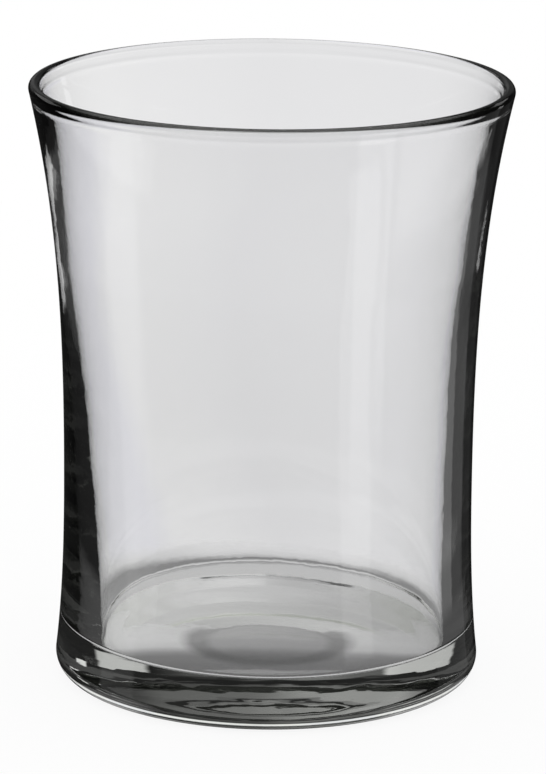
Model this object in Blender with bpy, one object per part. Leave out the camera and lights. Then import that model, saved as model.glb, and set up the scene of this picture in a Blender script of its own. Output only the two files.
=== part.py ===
"""Rocks glass with a flared mouth, a drawn-in waist and a heavy base.

One piece of clear glass, turned about the Z axis. It stands on z = 0, mouth up. Lengths are in metres.
"""

import math

import bpy

# Outside
HEIGHT = 0.1100
RIM_RADIUS = 0.0436
WAIST_RADIUS = 0.0373
WAIST_HEIGHT = 0.0397
BASE_RADIUS = 0.0388
FLARE_ANGLE = math.radians(13.0)  # lean of the wall where the lip begins
FOOT_ANGLE = math.radians(6.7)  # lean of the wall where the heel begins
HEEL_RADIUS = 0.0039

# Glass thickness
LIP_THICKNESS = 0.0021  # the fire-polished round over the mouth
LIP_TAPER_HEIGHT = 0.0200  # the wall thins to the lip over this height
WALL_UPPER = 0.0029
WALL_FOOT = 0.0063
EVEN_WALL_LENGTH = 0.0320  # from the top, the wall keeps WALL_UPPER for this long
WALL_SWELL_POWER = 1.3  # 1 would be an even taper from there to the foot

# Floor and underside
FLOOR_HEIGHT = 0.0052  # in the middle
FLOOR_DISH = 0.0034  # rise of the inside floor from the middle to the corner
FLOOR_CORNER = 0.0011  # radius of the tight corner around the inside floor
RESTING_RING_WIDTH = 0.0050
PUNT_DEPTH = 0.0011  # rise of the hollow under the base

# Facets of the turned solid
TURN_STEPS = 72
WALL_STEPS = 13
LIP_STEPS = 3
TAPER_STEPS = 4
CORNER_STEPS = 4
HEEL_STEPS = 4
FLOOR_STEPS = 6
PUNT_STEPS = 6
MERGE_DISTANCE = 0.00001

# Clear soda-lime glass
GLASS_COLOUR = (0.93, 0.95, 0.94, 1.0)
GLASS_ROUGHNESS = 0.02
GLASS_IOR = 1.52

QUARTER_TURN = math.pi / 2
LIP_RADIUS = LIP_THICKNESS / 2
LIP_CENTRE = (RIM_RADIUS - LIP_RADIUS, HEIGHT - LIP_RADIUS)
HEEL_CENTRE = (BASE_RADIUS - HEEL_RADIUS, HEEL_RADIUS)
FLOOR_EDGE_HEIGHT = FLOOR_HEIGHT + FLOOR_DISH


def on_arc(centre, radius, angle):
    """A point of an arc in the (r, z) half-plane: angle 0 points away from the axis, a quarter turn up."""
    return centre[0] + radius * math.cos(angle), centre[1] + radius * math.sin(angle)


OUTER_TOP = on_arc(LIP_CENTRE, LIP_RADIUS, -FLARE_ANGLE)
OUTER_FOOT = on_arc(HEEL_CENTRE, HEEL_RADIUS, FOOT_ANGLE)
INNER_TOP_HEIGHT = on_arc(LIP_CENTRE, LIP_RADIUS, math.pi - FLARE_ANGLE)[1]


def eased(share):
    """From 0 to 1 as share does, level at both ends."""
    share = min(max(share, 0.0), 1.0)
    return (3 - 2 * share) * share**2


def from_waist(z, end, slope):
    """Radius at height z on the cubic that leaves the waist upright and meets end with that slope."""
    length = end[1] - WAIST_HEIGHT
    share = (z - WAIST_HEIGHT) / length
    grown = (end[0] - WAIST_RADIUS) * eased(share)
    return WAIST_RADIUS + grown + slope * length * (share - 1) * share**2


def outer_radius(z):
    """Outside radius of the wall, from the heel to the lip and straight on above it."""
    if z < WAIST_HEIGHT:
        return from_waist(z, OUTER_FOOT, -math.tan(FOOT_ANGLE))
    if z > OUTER_TOP[1]:
        return OUTER_TOP[0] + (z - OUTER_TOP[1]) * math.tan(FLARE_ANGLE)
    return from_waist(z, OUTER_TOP, math.tan(FLARE_ANGLE))


def wall_across(z):
    """Level thickness of the wall: thin at the lip, even below it, then a swell to the foot."""
    level_upper = WALL_UPPER / math.cos(FLARE_ANGLE)
    level_lip = LIP_THICKNESS / math.cos(FLARE_ANGLE)
    taper = max((z - INNER_TOP_HEIGHT) / LIP_TAPER_HEIGHT + 1, 0.0) ** 2
    even_from = HEIGHT - EVEN_WALL_LENGTH
    share = max(even_from - z, 0.0) / (even_from - FLOOR_EDGE_HEIGHT)
    swell = (WALL_FOOT - level_upper) * share**WALL_SWELL_POWER
    return level_upper + (level_lip - level_upper) * taper + swell


def inner_radius(z):
    return outer_radius(z) - wall_across(z)


def steps(first, last, count):
    """Evenly spaced values from first to last, both included."""
    return [first + (last - first) * i / count for i in range(count + 1)]


def arc(centre, radius, angles):
    return [on_arc(centre, radius, angle) for angle in angles]


def dished_floor(radius):
    """The inside floor from its middle up to the corner at that radius."""
    return [(r, FLOOR_HEIGHT + FLOOR_DISH * (r / radius) ** 2) for r in steps(0.0, radius, FLOOR_STEPS)]


def floor_corner():
    """The arc that joins the dished floor to the inside wall, tangent to both, from the floor up."""
    top = FLOOR_EDGE_HEIGHT + FLOOR_CORNER
    lean = math.atan((inner_radius(top + FLOOR_CORNER) - inner_radius(top)) / FLOOR_CORNER)
    floor_slope = math.atan(2 * FLOOR_DISH / inner_radius(top))
    middle = FLOOR_EDGE_HEIGHT + FLOOR_CORNER * math.cos(floor_slope)
    end_height = middle - FLOOR_CORNER * math.sin(lean)
    centre = (inner_radius(end_height) - FLOOR_CORNER * math.cos(lean), middle)
    return arc(centre, FLOOR_CORNER, steps(floor_slope - QUARTER_TURN, -lean, CORNER_STEPS))


def punt():
    """The shallow hollow under the base, from the inside of the resting ring to the middle."""
    radius = HEEL_CENTRE[0] - RESTING_RING_WIDTH
    return [(r, PUNT_DEPTH * (1 - (r / radius) ** 2)) for r in steps(radius, 0.0, PUNT_STEPS)]


def lip():
    """The round over the mouth, from inside to outside, through its highest and its widest point."""
    rise = steps(math.pi - FLARE_ANGLE, QUARTER_TURN, LIP_STEPS)
    fall = steps(QUARTER_TURN, 0.0, LIP_STEPS)
    return arc(LIP_CENTRE, LIP_RADIUS, rise + fall[1:] + [-FLARE_ANGLE])


def heel():
    """The round under the foot of the wall, through its widest point, down to the resting ring."""
    return arc(HEEL_CENTRE, HEEL_RADIUS, [FOOT_ANGLE] + steps(0.0, -QUARTER_TURN, HEEL_STEPS))


def lathe_profile():
    """(r, z) points from the middle of the floor, over the lip and down to the middle of the punt."""
    corner = floor_corner()
    floor = dished_floor(corner[0][0])
    taper_foot = INNER_TOP_HEIGHT - LIP_TAPER_HEIGHT
    inside = [(inner_radius(z), z) for z in steps(corner[-1][1], taper_foot, WALL_STEPS)]
    taper = [(inner_radius(z), z) for z in steps(taper_foot, INNER_TOP_HEIGHT, TAPER_STEPS)]
    outside = [(outer_radius(z), z) for z in steps(OUTER_TOP[1], OUTER_FOOT[1], WALL_STEPS)]
    return floor + corner[1:] + inside[1:] + taper[1:] + lip()[1:] + outside[1:] + heel()[1:] + punt()


def clear_glass():
    material = bpy.data.materials.new("clear_glass")
    material.use_nodes = True
    shader = material.node_tree.nodes["Principled BSDF"]
    shader.inputs["Base Color"].default_value = GLASS_COLOUR
    shader.inputs["Roughness"].default_value = GLASS_ROUGHNESS
    shader.inputs["Metallic"].default_value = 0.0
    shader.inputs["IOR"].default_value = GLASS_IOR
    shader.inputs["Transmission Weight"].default_value = 1.0
    return material


def tumbler():
    """The glass itself: its profile, turned a full circle about the Z axis."""
    points = [(r, 0.0, z) for r, z in lathe_profile()]
    edges = [(i, i + 1) for i in range(len(points) - 1)]
    mesh = bpy.data.meshes.new("tumbler")
    mesh.from_pydata(points, edges, [])
    mesh.materials.append(clear_glass())
    glass = bpy.data.objects.new("tumbler", mesh)
    bpy.context.scene.collection.objects.link(glass)
    turn = glass.modifiers.new("turn", "SCREW")
    turn.axis = "Z"
    turn.angle = 2 * math.pi
    turn.steps = TURN_STEPS
    turn.render_steps = TURN_STEPS
    turn.use_merge_vertices = True
    turn.merge_threshold = MERGE_DISTANCE
    turn.use_smooth_shade = True
    return glass


def clear_scene():
    for thing in list(bpy.data.objects):
        bpy.data.objects.remove(thing)


clear_scene()
tumbler()
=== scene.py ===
"""A clear rocks glass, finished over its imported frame.

Lengths are in metres. The glass stands on z = 0 with its mouth up, and the photograph looks along +Y.
"""

import math
from collections import namedtuple

import bpy
from mathutils import Matrix, Vector, noise


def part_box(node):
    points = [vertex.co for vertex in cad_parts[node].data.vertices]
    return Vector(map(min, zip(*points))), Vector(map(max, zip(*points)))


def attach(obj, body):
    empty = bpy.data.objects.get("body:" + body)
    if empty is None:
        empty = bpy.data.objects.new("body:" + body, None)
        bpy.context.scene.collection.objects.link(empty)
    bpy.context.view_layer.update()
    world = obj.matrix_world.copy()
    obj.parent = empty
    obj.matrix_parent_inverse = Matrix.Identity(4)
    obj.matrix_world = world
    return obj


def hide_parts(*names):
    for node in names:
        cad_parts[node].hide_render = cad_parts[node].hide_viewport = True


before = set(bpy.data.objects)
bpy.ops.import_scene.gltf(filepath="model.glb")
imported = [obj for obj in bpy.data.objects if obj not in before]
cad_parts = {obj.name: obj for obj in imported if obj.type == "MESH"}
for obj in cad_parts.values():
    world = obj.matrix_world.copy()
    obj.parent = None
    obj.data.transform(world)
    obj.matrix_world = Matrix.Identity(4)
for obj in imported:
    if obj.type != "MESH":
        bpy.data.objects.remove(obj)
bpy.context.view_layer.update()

# Outside of the glass
FRAME_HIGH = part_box("tumbler")[1]
HEIGHT = FRAME_HIGH.z
RIM_RADIUS = FRAME_HIGH.x
WAIST_RADIUS = 0.0373
WAIST_HEIGHT = 0.0397
BASE_RADIUS = 0.0388
FLARE_ANGLE = math.radians(13.0)  # lean of the wall where the lip begins
FOOT_ANGLE = math.radians(6.7)  # lean of the wall where the heel begins
HEEL_RADIUS = 0.0039

# Thickness of the glass
LIP_THICKNESS = 0.0021
LIP_TAPER_HEIGHT = 0.0200  # the wall thins to the lip over this height
WALL_UPPER = 0.0029
WALL_FOOT = 0.0063
EVEN_WALL_LENGTH = 0.0320  # the swell to the foot starts this far below the top
WALL_SWELL_POWER = 1.3  # 1 would be an even taper from there to the foot

# Floor and underside
FLOOR_HEIGHT = 0.0052  # in the middle
FLOOR_DISH = 0.0034  # rise of the inside floor from the middle to the corner
FLOOR_CORNER = 0.0011  # radius of the tight corner around the inside floor
RESTING_RING_WIDTH = 0.0050
PUNT_DEPTH = 0.0011  # rise of the hollow under the base

# How far the hollow drifts from the axis, as hot glass runs: near the floor, and in a bulge further up
FLOOR_DRIFT = 0.00070
FLOOR_DRIFT_REACH = 0.045
BULGE_DRIFT = -0.00062
BULGE_HEIGHT = 0.069
BULGE_REACH = 0.024

# Waves that the mould and the cooling leave in the skin: how high, and how long
INSIDE_WAVE = 0.00007
INSIDE_WAVE_LENGTH = 0.024
OUTSIDE_WAVE = 0.000010
OUTSIDE_WAVE_LENGTH = 0.020
UNDERSIDE_RIPPLE = 0.000030
UNDERSIDE_RIPPLE_LENGTH = 0.0055
OVERTONE_PITCH = 2.1  # each wave carries a shorter one of this pitch and level
OVERTONE_LEVEL = 0.5

# Level streaks low on the outside, up to the streak top
FOOT_STREAK = 0.000012
FOOT_STREAK_LENGTH = 0.026
FOOT_STREAK_HEIGHT = 0.0013
FOOT_STREAK_TOP = 0.0120

# The bead just under the lip, inside
BEAD_DROP = 0.0024
BEAD_HEIGHT = 0.00010
BEAD_WIDTH = 0.00045
BEAD_REACH = 0.0045

# The round mark in the underside
MARK_CENTRE = -0.0025
MARK_RADIUS = 0.0125
MARK_WIDTH = 0.0015
MARK_DEPTH = 0.00004

# Fineness of the mesh
SEGMENTS = 240
WALL_STEPS = 80
FOOT_STEPS = 48
LIP_STEPS = 16
TAPER_STEPS = 14
BEAD_STEPS = 22
CORNER_STEPS = 20
HEEL_STEPS = 20
FLOOR_STEPS = 44
RING_STEPS = 6
PUNT_STEPS = 44

# The glass itself: a faint cloudy tint, a thin film of wear, a fine grain, and the colour of its thickness
GLASS_IOR = 1.52
CLOUD_SCALE = 45.0
CLOUD_DETAIL = 3.0
CLOUD_TINTS = ((1.0, 1.0, 1.0, 1.0), (0.990, 0.988, 1.0, 1.0))
FILM_RANGE = (0.45, 0.75)  # the film covers the thicker part of the cloud
FILM_ROUGHNESS = 0.04
GRAIN_SCALE = 260.0
GRAIN_HEIGHT = 0.000012
DEPTH_TINT = (0.90, 0.93, 0.85, 1.0)
DEPTH_DENSITY = 8.0

# The photograph's camera
IMAGE_WIDTH, IMAGE_HEIGHT = 546, 774
FOCAL_PIXELS = 4525.0
AXIS_PIXEL_X = 268.9
CAMERA_DISTANCE = 0.7965
CAMERA_HEIGHT = 0.2640
CAMERA_PITCH = math.radians(14.803)
CAMERA_ROLL = math.radians(0.60)
SENSOR_WIDTH = 36.0

# The studio is painted. It tells rays apart by how often the glass has bent them, on their way in or out,
# and how often it has mirrored them.
LIGHT_BOUNCES = 32
MIRROR_BOUNCES = 24
WALL_BENDS = 2  # a ray that bends more often than this has crossed the hollow
FEW_MIRRORINGS = 2
MOST_MIRRORINGS = 6

# Light cards that the glass mirrors. Each gives, in degrees, the middle and half width of its azimuth, its
# lowest and highest elevation and the softness of its edges, and then its level.
LIGHT_CARDS = (
    (56, 18, -25, -10, 3.0, 0.115),
    (30, 9, -25, -10, 6.0, 0.030),
    (60, 50, -54, -25.5, 4.0, 0.55),
    (-60, 50, -54, -31, 3.0, 0.55),
    (-14, 12, 3, 52, 10.0, 0.10),
    (2, 16, 3, 52, 10.0, 0.06),
    (0, 180, 58, 91, 10.0, 0.07),
    (124, 10, -42, -17, 3.0, 0.80),
    (-92, 12, -42, -8, 4.0, 0.35),
    (45, 3, -10, 0, 1.5, 0.80),
)
# Seen only up to FEW_MIRRORINGS: the two pale patches in the base
PATCH_CARDS = (
    (-38, 14, 12, 26, 3.0, 0.50),
    (33, 9, 14, 24.5, 2.5, 0.50),
)
# Seen only by rays that have entered the glass: two streaks
STREAK_CARDS = (
    (-18, 6, -18.6, -12, 1.0, 0.70),
    (14, 5, -17.5, -13, 1.0, 0.50),
)
# Seen only in the outer skin: the ceiling over the lip
CEILING_CARDS = ((0, 180, 40, 91, 20.0, 1.20),)
ROOM_LEVEL = 0.015

# Light that the base folds, after FEW_MIRRORINGS and up to MOST_MIRRORINGS, by azimuth in degrees
FOLDED_STOPS = (
    (-60.0, 0.03),
    (-40.0, 0.06),
    (-22.0, 0.22),
    (-8.0, 0.12),
    (0.0, 0.07),
    (20.0, 0.04),
    (35.0, 0.02),
    (60.0, 0.02),
)
FOLDED_AGAIN = 1.5  # its gain from the fourth mirroring on
SPENT_SHARE = 0.3  # what is left of the light of cards, room and folds after MOST_MIRRORINGS

# Light mirrored beyond the hollow: below the horizon, above it and high up. Edges are a middle and a
# softness in degrees. Behind the camera only the top is lit, and the right side is brighter than the left.
DEEP_LEVEL_DOWN = 0.30
DEEP_LEVEL_MIRROR = 0.28
DEEP_LEVEL_UP = 0.60
DEEP_HORIZON = (0.0, 10.0)
DEEP_RISE = (31.0, 6.0)
DEEP_BACK = (95.0, 30.0)
DEEP_BACK_SHARE = 0.05
DEEP_TOP = (46.0, 10.0)
DEEP_SIDES = (0.0, 60.0)
DEEP_TILT = (0.82, 1.17)

# The pale backdrop that shows through the wall, over one eighth of a turn: azimuth in degrees and colour
BACKDROP_STOPS = (
    (-22.5, (0.90, 0.90, 0.94)),
    (-9.0, (0.88, 0.88, 0.92)),
    (-6.0, (0.94, 0.94, 0.94)),
    (-3.0, (0.92, 0.92, 0.92)),
    (0.0, (0.87, 0.87, 0.875)),
    (3.0, (0.885, 0.885, 0.89)),
    (8.0, (0.89, 0.89, 0.90)),
    (22.5, (0.94, 0.94, 0.95)),
)
BACKDROP_TOP = (12.0, 6.0)  # its upper edge, above which a share of it is left
BACKDROP_TOP_SHARE = 0.22
BACKDROP_FOOT = (-16.0, 16.0)  # it is a little darker below this
BACKDROP_FOOT_SHARE = 0.88
BLACK = (0.0, 0.0, 0.0, 1.0)
WHITE = (1.0, 1.0, 1.0, 1.0)

# The shaded round of table under the glass. Stops give a place in metres and a level.
SHADE_RADIUS = 0.070
SHADE_SIDES = 64
SHADE_DROP = 0.0001
SHADE_FADE = (0.060, 0.069)

# Straight through the base: by Y, bowed by the square of X, then by X, and a round of painted shade that
# is darkest on a ring
SHADE_SEEN = (
    (-0.040, 0.094),
    (-0.015, 0.117),
    (-0.007, 0.176),
    (-0.004, 0.316),
    (0.0, 0.68),
    (0.005, 0.75),
    (0.040, 0.725),
)
SHADE_BOW = 12.0
SHADE_TILT = ((-0.030, 1.0), (0.0, 0.855), (0.030, 0.70))
SHADE_RING_CENTRE = (0.0, 0.003, 0.0)
SHADE_RING = ((0.0, 0.58), (0.0110, 0.56), (0.0130, 0.36), (0.0150, 0.36), (0.0180, 1.0))

# Straight through the wall, outside SHADE_EDGE: by the distance from the axis, and darker in front
SHADE_EDGE = (0.0330, 0.0360)
SHADE_AROUND = (
    (0.036, 0.56),
    (0.040, 0.56),
    (0.0418, 0.36),
    (0.043, 0.40),
    (0.0445, 0.74),
    (0.046, 0.60),
    (0.049, 0.26),
    (0.057, 0.26),
    (0.061, 0.68),
    (0.066, 0.76),
)
SHADE_FRONT = ((-0.050, 0.30), (0.0, 0.35), (0.014, 1.0))

# Mirrored in the glass: by the distance from the axis after few mirrorings, and even after more
SHADE_MIRRORED = (
    (0.0, 0.10),
    (0.024, 0.10),
    (0.027, 0.05),
    (0.031, 0.30),
    (0.0335, 0.60),
    (0.039, 0.60),
    (0.042, 0.07),
    (0.070, 0.07),
)
SHADE_FOLDED = 0.02

# Mirrored beyond the hollow: by Y and by X
SHADE_BEHIND = ((-0.010, 0.0), (0.004, 0.56), (0.060, 0.56), (0.068, 0.0))
SHADE_BESIDE = (
    (-0.060, 0.0),
    (-0.050, 1.0),
    (-0.025, 1.0),
    (0.0, 0.855),
    (0.025, 0.70),
    (0.050, 0.70),
    (0.060, 0.0),
)
SHADE_DEEP = 0.08

# The white table, which glows so that it merges with the white behind it
TABLE_REACH = 3.0
TABLE_DROP = 0.00005
TABLE_GLOW_RANGE = (0.10, 0.40)
TABLE_GLOW_SHARE = 0.9

QUARTER_TURN = math.pi / 2
LIP_RADIUS = LIP_THICKNESS / 2
LIP_CENTRE = (RIM_RADIUS - LIP_RADIUS, HEIGHT - LIP_RADIUS)
HEEL_CENTRE = (BASE_RADIUS - HEEL_RADIUS, HEEL_RADIUS)
PUNT_RADIUS = HEEL_CENTRE[0] - RESTING_RING_WIDTH
FLOOR_EDGE_HEIGHT = FLOOR_HEIGHT + FLOOR_DISH


def on_arc(centre, radius, angle):
    """A point of an arc in the (r, z) half-plane: angle 0 points away from the axis, a quarter turn up."""
    return centre[0] + radius * math.cos(angle), centre[1] + radius * math.sin(angle)


OUTER_TOP = on_arc(LIP_CENTRE, LIP_RADIUS, -FLARE_ANGLE)
OUTER_FOOT = on_arc(HEEL_CENTRE, HEEL_RADIUS, FOOT_ANGLE)
INNER_TOP_HEIGHT = on_arc(LIP_CENTRE, LIP_RADIUS, math.pi - FLARE_ANGLE)[1]


def smooth(share):
    """0 below 0, 1 above 1, and an even ease between them."""
    share = min(max(share, 0.0), 1.0)
    return (3 - 2 * share) * share**2


def swelling(offset, width):
    """1 at no offset, dying away over about that width on both sides."""
    return math.exp(-((offset / width) ** 2))


def from_waist(z, end, slope):
    """Radius at height z on the cubic that leaves the waist upright and meets end with that slope."""
    length = end[1] - WAIST_HEIGHT
    share = (z - WAIST_HEIGHT) / length
    grown = (end[0] - WAIST_RADIUS) * smooth(share)
    return WAIST_RADIUS + grown + slope * length * (share - 1) * share**2


def outer_radius(z):
    """Outside radius of the wall, from the heel to the lip and straight on above it."""
    if z < WAIST_HEIGHT:
        return from_waist(z, OUTER_FOOT, -math.tan(FOOT_ANGLE))
    if z > OUTER_TOP[1]:
        return OUTER_TOP[0] + (z - OUTER_TOP[1]) * math.tan(FLARE_ANGLE)
    return from_waist(z, OUTER_TOP, math.tan(FLARE_ANGLE))


def wall_across(z):
    """Level thickness of the wall: thin at the lip, even below it, then a swell to the foot."""
    level_upper = WALL_UPPER / math.cos(FLARE_ANGLE)
    level_lip = LIP_THICKNESS / math.cos(FLARE_ANGLE)
    taper = max((z - INNER_TOP_HEIGHT) / LIP_TAPER_HEIGHT + 1, 0.0) ** 2
    even_from = HEIGHT - EVEN_WALL_LENGTH
    share = max(even_from - z, 0.0) / (even_from - FLOOR_EDGE_HEIGHT)
    swell = (WALL_FOOT - level_upper) * share**WALL_SWELL_POWER
    return level_upper + (level_lip - level_upper) * taper + swell


def inner_radius(z):
    return outer_radius(z) - wall_across(z)


def steps(first, last, count):
    """Evenly spaced values from first to last, both included."""
    return [first + (last - first) * i / count for i in range(count + 1)]


def arc(centre, radius, angles):
    return [on_arc(centre, radius, angle) for angle in angles]


def along_wall(radius_at, first, last, count):
    """Points of the inside or outside wall between two heights."""
    return [(radius_at(z), z) for z in steps(first, last, count)]


def floor_corner():
    """The tight round between the dished floor and the inside wall, from the floor up."""
    top = FLOOR_EDGE_HEIGHT + FLOOR_CORNER
    lean = math.atan((inner_radius(top + FLOOR_CORNER) - inner_radius(top)) / FLOOR_CORNER)
    edge_slope = math.atan(2 * FLOOR_DISH / inner_radius(top))
    middle = FLOOR_EDGE_HEIGHT + FLOOR_CORNER * math.cos(edge_slope)
    end_height = middle - FLOOR_CORNER * math.sin(lean)
    centre = (inner_radius(end_height) - FLOOR_CORNER * math.cos(lean), middle)
    return arc(centre, FLOOR_CORNER, steps(edge_slope - QUARTER_TURN, -lean, CORNER_STEPS))


def inside_profile():
    """(r, z) points from the middle of the floor, up the inside wall and over the bead to the lip."""
    corner = floor_corner()
    edge_radius = corner[0][0]
    radii = steps(0.0, edge_radius, FLOOR_STEPS)
    floor = [(r, FLOOR_HEIGHT + FLOOR_DISH * (r / edge_radius) ** 2) for r in radii]
    taper_foot = INNER_TOP_HEIGHT - LIP_TAPER_HEIGHT
    bead_foot = INNER_TOP_HEIGHT - BEAD_REACH
    wall = along_wall(inner_radius, corner[-1][1], taper_foot, WALL_STEPS)
    taper = along_wall(inner_radius, taper_foot, bead_foot, TAPER_STEPS)
    bead = along_wall(inner_radius, bead_foot, INNER_TOP_HEIGHT, BEAD_STEPS)
    return floor + corner[1:] + wall[1:] + taper[1:] + bead[1:]


def outside_profile():
    """(r, z) points over the lip, down the outside and the heel, and under the base to its middle."""
    rise = steps(math.pi - FLARE_ANGLE, QUARTER_TURN, LIP_STEPS)
    fall = steps(QUARTER_TURN, -FLARE_ANGLE, LIP_STEPS)
    lip = arc(LIP_CENTRE, LIP_RADIUS, rise + fall[1:])
    wall = along_wall(outer_radius, OUTER_TOP[1], FOOT_STREAK_TOP, WALL_STEPS)
    foot = along_wall(outer_radius, FOOT_STREAK_TOP, OUTER_FOOT[1], FOOT_STEPS)
    heel = arc(HEEL_CENTRE, HEEL_RADIUS, steps(FOOT_ANGLE, -QUARTER_TURN, HEEL_STEPS))
    ring = [(r, 0.0) for r in steps(HEEL_CENTRE[0], PUNT_RADIUS, RING_STEPS)]
    radii = steps(PUNT_RADIUS, 0.0, PUNT_STEPS)
    punt = [(r, PUNT_DEPTH * (1 - (r / PUNT_RADIUS) ** 2)) for r in radii]
    return lip[1:] + wall[1:] + foot[1:] + heel[1:] + ring[1:] + punt[1:]


def wave(place, length):
    """Uneven swells of about that length, from -1 to 1."""
    place = place / length
    overtone = OVERTONE_LEVEL * noise.noise(place * OVERTONE_PITCH)
    return (noise.noise(place) + overtone) / (1 + OVERTONE_LEVEL)


def inside_point(r, z, angle):
    """A point of the hollow: off the axis by its drift, waved, and drawn in by the bead."""
    drift = FLOOR_DRIFT * (1 - smooth(z / FLOOR_DRIFT_REACH))
    drift += BULGE_DRIFT * swelling(z - BULGE_HEIGHT, BULGE_REACH)
    across, along = math.cos(angle), math.sin(angle)
    above_floor = z - FLOOR_EDGE_HEIGHT - FLOOR_CORNER
    swell = smooth(above_floor / FLOOR_HEIGHT) * smooth((INNER_TOP_HEIGHT - z) / LIP_TAPER_HEIGHT)
    r += INSIDE_WAVE * swell * wave(Vector((r * across, r * along, z)), INSIDE_WAVE_LENGTH)
    r -= BEAD_HEIGHT * swelling(z - HEIGHT + BEAD_DROP, BEAD_WIDTH)
    return r * across + drift, r * along, z


def outside_point(r, z, angle):
    """A point of the outside: rippled and marked under the base, streaked at the foot, waved above it."""
    across, along = math.cos(angle), math.sin(angle)
    if z > 0 and r < HEEL_CENTRE[0]:
        inwards = smooth((PUNT_RADIUS - r) / RESTING_RING_WIDTH)
        ripple = wave(Vector((r * across, r * along, 0.0)), UNDERSIDE_RIPPLE_LENGTH)
        z += UNDERSIDE_RIPPLE * inwards * ripple
        from_mark = math.hypot(r * across, r * along - MARK_CENTRE) - MARK_RADIUS
        z += MARK_DEPTH * swelling(from_mark, MARK_WIDTH)
    if HEEL_RADIUS < z < OUTER_TOP[1]:
        above_heel = smooth((z - HEEL_RADIUS) / HEEL_RADIUS)
        swell = above_heel * smooth((OUTER_TOP[1] - z) / LIP_TAPER_HEIGHT)
        r += OUTSIDE_WAVE * swell * wave(Vector((r * across, r * along, z)), OUTSIDE_WAVE_LENGTH)
        low = above_heel * smooth((FOOT_STREAK_TOP - z) / FOOT_STREAK_HEIGHT)
        drawn = z * FOOT_STREAK_LENGTH / FOOT_STREAK_HEIGHT
        r += FOOT_STREAK * low * wave(Vector((r * across, r * along, drawn)), FOOT_STREAK_LENGTH)
    return r * across, r * along, z


def turned_mesh(name):
    """The whole skin of the glass, in rings from the middle of the floor to the middle of the punt."""
    rings = [(inside_point, r, z) for r, z in inside_profile()]
    rings += [(outside_point, r, z) for r, z in outside_profile()]
    angles = [2 * math.pi * i / SEGMENTS for i in range(SEGMENTS)]
    points = [rings[0][0](0.0, rings[0][2], 0.0)]
    for place, r, z in rings[1:-1]:
        points += [place(r, z, angle) for angle in angles]
    points.append(rings[-1][0](0.0, rings[-1][2], 0.0))
    last = len(points) - 1
    faces = []
    for i in range(SEGMENTS):
        j = (i + 1) % SEGMENTS
        faces.append((0, 1 + i, 1 + j))
        for ring in range(len(rings) - 3):
            low, high = 1 + ring * SEGMENTS, 1 + (ring + 1) * SEGMENTS
            faces.append((low + i, high + i, high + j, low + j))
        faces.append((last - SEGMENTS + j, last - SEGMENTS + i, last))
    mesh = bpy.data.meshes.new(name)
    mesh.from_pydata(points, [], faces)
    mesh.validate()
    mesh.shade_smooth()
    return mesh


# The two inputs and the output of a Mix node, for numbers and for colours
MIX_SOCKETS = {"FLOAT": (2, 3, 0), "RGBA": (6, 7, 2)}
RAMP_MIDDLE = 0.5  # where a new stop of a ramp starts, before it gets its place
HALF_COUNT = 0.5  # between one whole count and the next


class Wiring:
    """Adds nodes to one node tree. A value is a number, a colour or another node's output."""

    def __init__(self, tree):
        self.tree = tree

    def fill(self, node, inputs):
        """Sets or links the node's sockets, given by name or number."""
        for key, value in inputs.items():
            if isinstance(value, bpy.types.NodeSocket):
                self.tree.links.new(value, node.inputs[key])
            else:
                node.inputs[key].default_value = value

    def node(self, kind, inputs=None, **settings):
        """A new node with these settings and with its sockets filled."""
        node = self.tree.nodes.new(kind)
        for name, value in settings.items():
            setattr(node, name, value)
        self.fill(node, inputs or {})
        return node

    def calc(self, operation, *values):
        return self.node("ShaderNodeMath", dict(enumerate(values)), operation=operation).outputs[0]

    def times(self, a, b):
        return self.calc("MULTIPLY", a, b)

    def plus(self, a, b):
        return self.calc("ADD", a, b)

    def more_than(self, count, number):
        """1 where a whole count is above that number, 0 elsewhere."""
        return self.calc("GREATER_THAN", count, number + HALF_COUNT)

    def at_most(self, count, number):
        """1 where a whole count is no higher than that number, 0 elsewhere."""
        return self.calc("LESS_THAN", count, number + HALF_COUNT)

    def span(self, value, low, high, first=0.0, last=1.0, kind="LINEAR"):
        """From first to last, in a straight line, as the value goes from low to high."""
        inputs = {"Value": value, "From Min": low, "From Max": high, "To Min": first, "To Max": last}
        return self.node("ShaderNodeMapRange", inputs, interpolation_type=kind).outputs[0]

    def ease(self, value, low, high, first=0.0, last=1.0):
        """The same, but level at both ends."""
        return self.span(value, low, high, first, last, "SMOOTHSTEP")

    def ramp(self, value, stops):
        """The level or colour at a value, read between (place, level) or (place, colour) stops."""
        first, last = stops[0][0], stops[-1][0]
        ramp = self.node("ShaderNodeValToRGB", {0: self.span(value, first, last)})
        elements = ramp.color_ramp.elements
        while len(elements) < len(stops):
            elements.new(RAMP_MIDDLE)
        for element, (place, level) in zip(elements, stops):
            element.position = (place - first) / (last - first)
        for element, (place, level) in zip(elements, stops):
            colour = level if isinstance(level, tuple) else (level, level, level)
            element.color = (*colour, 1.0)
        return ramp.outputs[0]

    def blend(self, share, first, second, kind="FLOAT"):
        """first where the share is 0, second where it is 1."""
        one, other, result = MIX_SOCKETS[kind]
        inputs = {0: share, one: first, other: second}
        return self.node("ShaderNodeMix", inputs, data_type=kind).outputs[result]

    def choose(self, share, first, second):
        """The same for colours."""
        return self.blend(share, first, second, "RGBA")

    def from_axis(self, place):
        """How far a place of the table lies from the middle of the glass."""
        return self.node("ShaderNodeVectorMath", {0: place}, operation="LENGTH").outputs["Value"]


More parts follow.
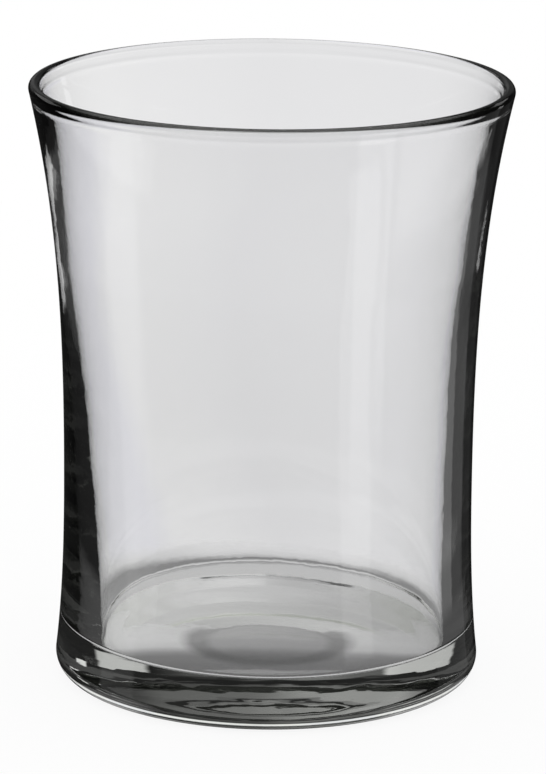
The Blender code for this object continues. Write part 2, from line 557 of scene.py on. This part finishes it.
def clear_glass():
    """Clear glass with a faint cloudy tint, a thin film of wear and a fine grain in its skin."""
    material = bpy.data.materials.new("clear_glass")
    material.use_nodes = True
    wires = Wiring(material.node_tree)
    place = wires.node("ShaderNodeTexCoord").outputs["Object"]
    noise_inputs = {"Vector": place, "Scale": CLOUD_SCALE, "Detail": CLOUD_DETAIL}
    cloud = wires.node("ShaderNodeTexNoise", noise_inputs).outputs[0]
    tint = wires.node("ShaderNodeValToRGB", {0: cloud})
    for stop, colour in zip(tint.color_ramp.elements, CLOUD_TINTS):
        stop.color = colour
    grain = wires.node("ShaderNodeTexNoise", {"Vector": place, "Scale": GRAIN_SCALE}).outputs[0]
    bump = wires.node("ShaderNodeBump", {"Height": grain, "Distance": GRAIN_HEIGHT})
    skin = {
        "Base Color": tint.outputs[0],
        "Roughness": wires.span(cloud, *FILM_RANGE, 0.0, FILM_ROUGHNESS),
        "Normal": bump.outputs[0],
        "IOR": GLASS_IOR,
        "Transmission Weight": 1.0,
    }
    wires.fill(wires.tree.nodes["Principled BSDF"], skin)
    depth = wires.node("ShaderNodeVolumeAbsorption", {"Color": DEPTH_TINT, "Density": DEPTH_DENSITY})
    wires.fill(wires.tree.nodes["Material Output"], {"Volume": depth.outputs[0]})
    return material


# What the studio knows of a ray: where it goes, and how often the glass has bent and mirrored it
Rays = namedtuple("Rays", "azimuth elevation bends mirrorings")


def in_radians(stops):
    return [(math.radians(angle), level) for angle, level in stops]


def edge(wires, angle, place, first, last):
    """From first to last where the angle passes a place, which is a middle and a softness in degrees."""
    middle, softness = math.radians(place[0]), math.radians(place[1])
    return wires.ease(angle, middle - softness / 2, middle + softness / 2, first, last)


def card_light(wires, rays, cards):
    """The light of these cards in the ray's direction."""
    total = 0.0
    for towards, half_width, low, high, softness, level in cards:
        turned = wires.calc("SUBTRACT", rays.azimuth, math.radians(towards))
        away = wires.calc("ABSOLUTE", wires.calc("WRAP", turned, math.pi, -math.pi))
        across = edge(wires, away, (half_width, softness), level, 0.0)
        over = edge(wires, rays.elevation, (low, softness), 0.0, 1.0)
        under = edge(wires, rays.elevation, (high, softness), 1.0, 0.0)
        total = wires.plus(wires.times(across, wires.times(over, under)), total)
    return total


def mirrored_light(wires, rays):
    """What the skin of the glass mirrors, and what its wall and base pipe along."""
    light = wires.plus(card_light(wires, rays, LIGHT_CARDS), ROOM_LEVEL)
    for cards, shown in (
        (PATCH_CARDS, wires.at_most(rays.mirrorings, FEW_MIRRORINGS)),
        (STREAK_CARDS, wires.more_than(rays.bends, 0)),
        (CEILING_CARDS, wires.at_most(rays.bends, 0)),
    ):
        light = wires.plus(light, wires.times(card_light(wires, rays, cards), shown))
    after_few = wires.more_than(rays.mirrorings, FEW_MIRRORINGS)
    folded = wires.times(after_few, wires.at_most(rays.mirrorings, MOST_MIRRORINGS))
    again = wires.ease(rays.mirrorings, FEW_MIRRORINGS + 1, FEW_MIRRORINGS + 2, 1.0, FOLDED_AGAIN)
    sheen = wires.times(wires.ramp(rays.azimuth, in_radians(FOLDED_STOPS)), again)
    light = wires.plus(light, wires.times(folded, sheen))
    left = wires.ease(rays.mirrorings, MOST_MIRRORINGS, MOST_MIRRORINGS + 1, 1.0, SPENT_SHARE)
    return wires.times(light, left)


def deep_light(wires, rays):
    """What is mirrored beyond the hollow, such as in the floor and the far wall."""
    level = wires.plus(
        edge(wires, rays.elevation, DEEP_HORIZON, DEEP_LEVEL_DOWN, DEEP_LEVEL_MIRROR),
        edge(wires, rays.elevation, DEEP_RISE, 0.0, DEEP_LEVEL_UP - DEEP_LEVEL_MIRROR),
    )
    folded = wires.times(wires.more_than(rays.mirrorings, 1), DEEP_LEVEL_UP)
    level = wires.calc("MAXIMUM", level, folded)
    ahead = edge(wires, wires.calc("ABSOLUTE", rays.azimuth), DEEP_BACK, 1.0, DEEP_BACK_SHARE)
    top = edge(wires, rays.elevation, DEEP_TOP, 0.0, 1.0)
    level = wires.times(level, wires.calc("MAXIMUM", ahead, top))
    return wires.times(level, edge(wires, rays.azimuth, DEEP_SIDES, *DEEP_TILT))


def backdrop_light(wires, rays):
    """What shows straight through the wall. The backdrop repeats all around the glass."""
    first, last = math.radians(BACKDROP_STOPS[0][0]), math.radians(BACKDROP_STOPS[-1][0])
    sector = wires.calc("WRAP", rays.azimuth, last, first)
    backdrop = wires.ramp(sector, in_radians(BACKDROP_STOPS))
    top = edge(wires, rays.elevation, BACKDROP_TOP, 1.0, BACKDROP_TOP_SHARE)
    foot = edge(wires, rays.elevation, BACKDROP_FOOT, BACKDROP_FOOT_SHARE, 1.0)
    return wires.choose(wires.times(top, foot), BLACK, backdrop)


def studio_world():
    """The painted studio: white to the camera and the table, light cards and a backdrop to the glass."""
    world = bpy.data.worlds.new("studio")
    world.use_nodes = True
    wires = Wiring(world.node_tree)
    wires.tree.nodes.clear()
    path = wires.node("ShaderNodeLightPath").outputs
    direction = wires.node("ShaderNodeTexCoord").outputs["Generated"]
    split = wires.node("ShaderNodeSeparateXYZ", {0: direction}).outputs
    rays = Rays(
        azimuth=wires.calc("ARCTAN2", split["X"], split["Y"]),
        elevation=wires.calc("ARCSINE", split["Z"]),
        bends=path["Transmission Depth"],
        mirrorings=path["Glossy Depth"],
    )
    crossed = wires.more_than(rays.bends, WALL_BENDS)
    mirrored = wires.choose(crossed, mirrored_light(wires, rays), deep_light(wires, rays))
    is_mirrored = wires.more_than(rays.mirrorings, 0)
    in_glass = wires.choose(is_mirrored, backdrop_light(wires, rays), mirrored)
    bare = wires.calc("MAXIMUM", path["Is Camera Ray"], path["Is Diffuse Ray"])
    background = wires.node("ShaderNodeBackground", {"Color": wires.choose(bare, in_glass, WHITE)})
    wires.node("ShaderNodeOutputWorld", {"Surface": background.outputs[0]})
    bpy.context.scene.world = world


def shaded_table():
    """The light on the table under the glass, which shows through the floor and in the base."""
    material = bpy.data.materials.new("shaded_table")
    material.use_nodes = True
    wires = Wiring(material.node_tree)
    wires.tree.nodes.clear()
    path = wires.node("ShaderNodeLightPath").outputs
    bends, mirrorings = path["Transmission Depth"], path["Glossy Depth"]
    place = wires.node("ShaderNodeTexCoord").outputs["Object"]
    split = wires.node("ShaderNodeSeparateXYZ", {0: place}).outputs
    x, y = split["X"], split["Y"]
    out = wires.from_axis(place)
    # from_mark here is the distance from the middle of the painted shade ring
    ends = {0: place, 1: SHADE_RING_CENTRE}
    from_mark = wires.node("ShaderNodeVectorMath", ends, operation="DISTANCE").outputs["Value"]

    bowed = wires.calc("MULTIPLY_ADD", wires.times(x, x), SHADE_BOW, y)
    under = wires.times(wires.ramp(bowed, SHADE_SEEN), wires.ramp(from_mark, SHADE_RING))
    under = wires.times(under, wires.ramp(x, SHADE_TILT))
    around = wires.times(wires.ramp(out, SHADE_AROUND), wires.ramp(y, SHADE_FRONT))
    seen = wires.blend(wires.ease(out, *SHADE_EDGE), under, around)

    few = wires.at_most(mirrorings, FEW_MIRRORINGS)
    near = wires.blend(few, SHADE_FOLDED, wires.ramp(out, SHADE_MIRRORED))
    beside = wires.ramp(x, SHADE_BESIDE)
    deep = wires.calc("MULTIPLY_ADD", wires.ramp(y, SHADE_BEHIND), beside, SHADE_DEEP)
    mirrored = wires.blend(wires.more_than(bends, WALL_BENDS), near, deep)
    level = wires.blend(wires.more_than(mirrorings, 0), seen, mirrored)

    glow = wires.node("ShaderNodeEmission", {"Strength": level}).outputs[0]
    clear = wires.node("ShaderNodeBsdfTransparent").outputs[0]
    surface = wires.node("ShaderNodeMixShader", {0: wires.ease(out, *SHADE_FADE), 1: glow, 2: clear})
    wires.node("ShaderNodeOutputMaterial", {"Surface": surface.outputs[0]})
    return material


def white_table():
    """White, glowing a little less near the glass so that the table can still shade there."""
    material = bpy.data.materials.new("white_table")
    material.use_nodes = True
    wires = Wiring(material.node_tree)
    wires.tree.nodes.clear()
    out = wires.from_axis(wires.node("ShaderNodeTexCoord").outputs["Object"])
    share = wires.ease(out, *TABLE_GLOW_RANGE, TABLE_GLOW_SHARE, 1.0)
    matt = wires.node("ShaderNodeBsdfDiffuse", {"Color": WHITE}).outputs[0]
    glow = wires.node("ShaderNodeEmission").outputs[0]
    surface = wires.node("ShaderNodeMixShader", {0: share, 1: matt, 2: glow})
    wires.node("ShaderNodeOutputMaterial", {"Surface": surface.outputs[0]})
    return material


def flat_sheet(name, corners, drop, material):
    """A flat piece of the stage, that far under the resting ring."""
    mesh = bpy.data.meshes.new(name)
    mesh.from_pydata([(x, y, 0.0) for x, y in corners], [], [range(len(corners))])
    mesh.materials.append(material)
    sheet = bpy.data.objects.new(name, mesh)
    sheet.location.z = -drop
    bpy.context.scene.collection.objects.link(sheet)
    return sheet


def contact_shade():
    """The shaded round of table under the glass. Only rays that the glass has bent can see it."""
    angles = [2 * math.pi * i / SHADE_SIDES for i in range(SHADE_SIDES)]
    corners = [(SHADE_RADIUS * math.cos(angle), SHADE_RADIUS * math.sin(angle)) for angle in angles]
    shade = flat_sheet("contact_shade", corners, SHADE_DROP, shaded_table())
    shade.visible_camera = False
    shade.visible_diffuse = False
    shade.visible_glossy = False
    shade.visible_shadow = False


def table_top():
    """The white table, for the camera. The glass neither mirrors it nor shows it."""
    corners = [(x * TABLE_REACH, y * TABLE_REACH) for x, y in ((-1, -1), (1, -1), (1, 1), (-1, 1))]
    table = flat_sheet("table_top", corners, TABLE_DROP, white_table())
    table.visible_glossy = False
    table.visible_transmission = False


def photo_camera():
    """The photograph's camera, a little above the glass and rolled by a hair."""
    camera = bpy.data.cameras.new("photo_camera")
    camera.sensor_width = SENSOR_WIDTH
    camera.lens = FOCAL_PIXELS / IMAGE_HEIGHT * SENSOR_WIDTH
    camera.shift_x = (IMAGE_WIDTH / 2 - AXIS_PIXEL_X) / IMAGE_HEIGHT
    view = bpy.data.objects.new("photo_camera", camera)
    view.matrix_world = (
        Matrix.Translation((0.0, -CAMERA_DISTANCE, CAMERA_HEIGHT))
        @ Matrix.Rotation(QUARTER_TURN - CAMERA_PITCH, 4, "X")
        @ Matrix.Rotation(CAMERA_ROLL, 4, "Z")
    )
    bpy.context.scene.collection.objects.link(view)
    bpy.context.scene.camera = view


def rocks_glass():
    """The one piece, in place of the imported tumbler."""
    mesh = turned_mesh("rocks_glass")
    mesh.materials.append(clear_glass())
    glass = bpy.data.objects.new("rocks_glass", mesh)
    bpy.context.scene.collection.objects.link(glass)
    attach(glass, "root")
    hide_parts("tumbler")


rocks_glass()
table_top()
contact_shade()
studio_world()
photo_camera()
scene = bpy.context.scene
scene.view_settings.view_transform = "Standard"
scene.cycles.max_bounces = LIGHT_BOUNCES
scene.cycles.transmission_bounces = LIGHT_BOUNCES
scene.cycles.glossy_bounces = MIRROR_BOUNCES
